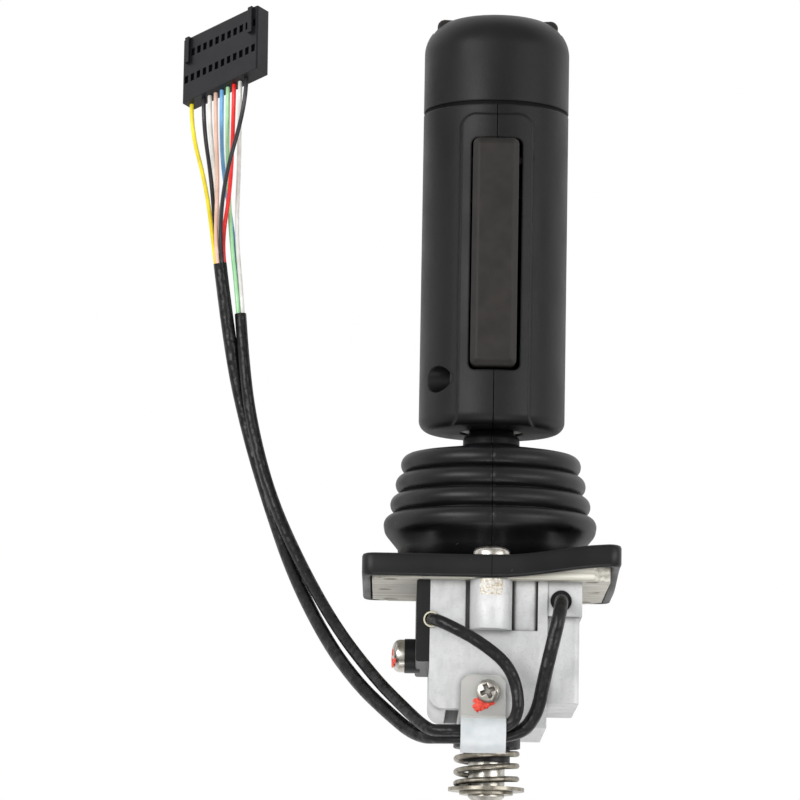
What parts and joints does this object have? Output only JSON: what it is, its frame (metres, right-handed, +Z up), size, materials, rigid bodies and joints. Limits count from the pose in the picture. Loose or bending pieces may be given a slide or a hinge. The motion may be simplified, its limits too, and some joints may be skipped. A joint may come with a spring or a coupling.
{
  "type": "industrial joystick",
  "caption": "Panel-mount industrial joystick with a round grip, long trigger, thumb rocker, rubber bellows boot, cast housing, return spring and wired plug, lying on its back.",
  "frame": {"origin": "centre of the joystick's footprint on the table, cables left out", "axes": "+Y along the lever towards the cap (the lever leans 5.8 degrees down from it), +Z up from the table out of the trigger side, +X to the right of the trigger"},
  "size_m": [0.1343, 0.2401, 0.0857],
  "materials": {
    "cast_aluminium": "satin",
    "boot_rubber": "satin",
    "gasket_rubber": "matte",
    "screw_steel": "satin",
    "bronze": "satin",
    "cover_plastic": "matte",
    "circuit_board": "gloss",
    "ring_plastic": "satin",
    "clip_nylon": "satin",
    "bush_plastic": "matte",
    "sleeve": "satin",
    "connector_plastic": "matte",
    "spring_steel": "satin",
    "machined_steel": "satin",
    "grip_plastic": "matte",
    "trigger_plastic": "matte",
    "switch_plastic": "matte",
    "wire_yellow": "satin",
    "wire_black": "satin",
    "wire_white": "satin",
    "wire_pink": "satin",
    "wire_red": "satin",
    "wire_green": "satin",
    "wire_blue": "satin"
  },
  "bodies": {
    "base": {"gimbal_housing": "cast_aluminium", "bellows_boot": "boot_rubber", "flange_screws": "screw_steel", "axle_bushes": "bronze", "sensor_cover": "cover_plastic", "end_screw": "screw_steel", "sensor_board": "circuit_board", "cable_ferrule": "ring_plastic", "cable_grommet": "boot_rubber", "cable_clip": "clip_nylon", "clip_screw": "screw_steel", "plunger_bush": "bush_plastic", "sensor_sleeve": "sleeve", "grip_sleeve": "sleeve", "connector_housing": "connector_plastic", "wire_yellow": "wire_yellow", "wire_black": "wire_black", "wire_white": "wire_white", "wire_pink": "wire_pink", "wire_black_right": "wire_black", "wire_red": "wire_red", "wire_green": "wire_green", "wire_blue": "wire_blue", "wire_white_right": "wire_white", "centring_spring": "spring_steel"},
    "lever": {"lever_hub": "machined_steel", "pivot_axle": "machined_steel", "magnet": "machined_steel", "lever_shaft": "machined_steel", "jam_nut": "screw_steel", "grip_shell_left": "grip_plastic", "grip_shell_right": "grip_plastic", "grip_screws": "screw_steel", "trigger_pin": "machined_steel", "switch_board": "circuit_board", "trigger_switch": "switch_plastic", "trigger_spring": "spring_steel", "cap_gasket": "gasket_rubber", "grip_cap": "grip_plastic", "rocker_pin": "machined_steel", "rocker_switches": "switch_plastic"},
    "trigger": {"trigger_bar": "trigger_plastic"},
    "thumb_rocker": {"rocker": "trigger_plastic"},
    "plunger": {"plunger_stirrup": "machined_steel", "plunger_rod": "machined_steel", "plunger_washer": "machined_steel", "retaining_clip": "spring_steel"}
  },
  "joints": [
    {"name": "lever_tilt", "type": "hinge", "parent": "base", "child": "lever", "pos_m": [0, -0.07541, 0.0406], "axis": [1, 0, 0], "range_deg": [-18, 18], "stiffness_Nm_per_rad": 8, "deforming": ["bellows_boot"]},
    {"name": "trigger_pull", "type": "hinge", "parent": "lever", "child": "trigger", "pos_m": [0, 0.07367, 0.04366], "axis": [1, 0, 0], "range_deg": [0, 3.5], "stiffness_Nm_per_rad": 3, "deforming": ["trigger_spring"]},
    {"name": "rocker_tip", "type": "hinge", "parent": "lever", "child": "thumb_rocker", "pos_m": [0, 0.10823, 0.02183], "axis": [0, 0.1017, 0.9948], "range_deg": [-8, 8], "stiffness_Nm_per_rad": 0.3},
    {"name": "plunger_lift", "type": "slide", "parent": "base", "child": "plunger", "axis": [0, 0.9948, -0.1017], "range_m": [0, 0.0043], "stiffness_N_per_m": 6000, "deforming": ["centring_spring"]}
  ]
}
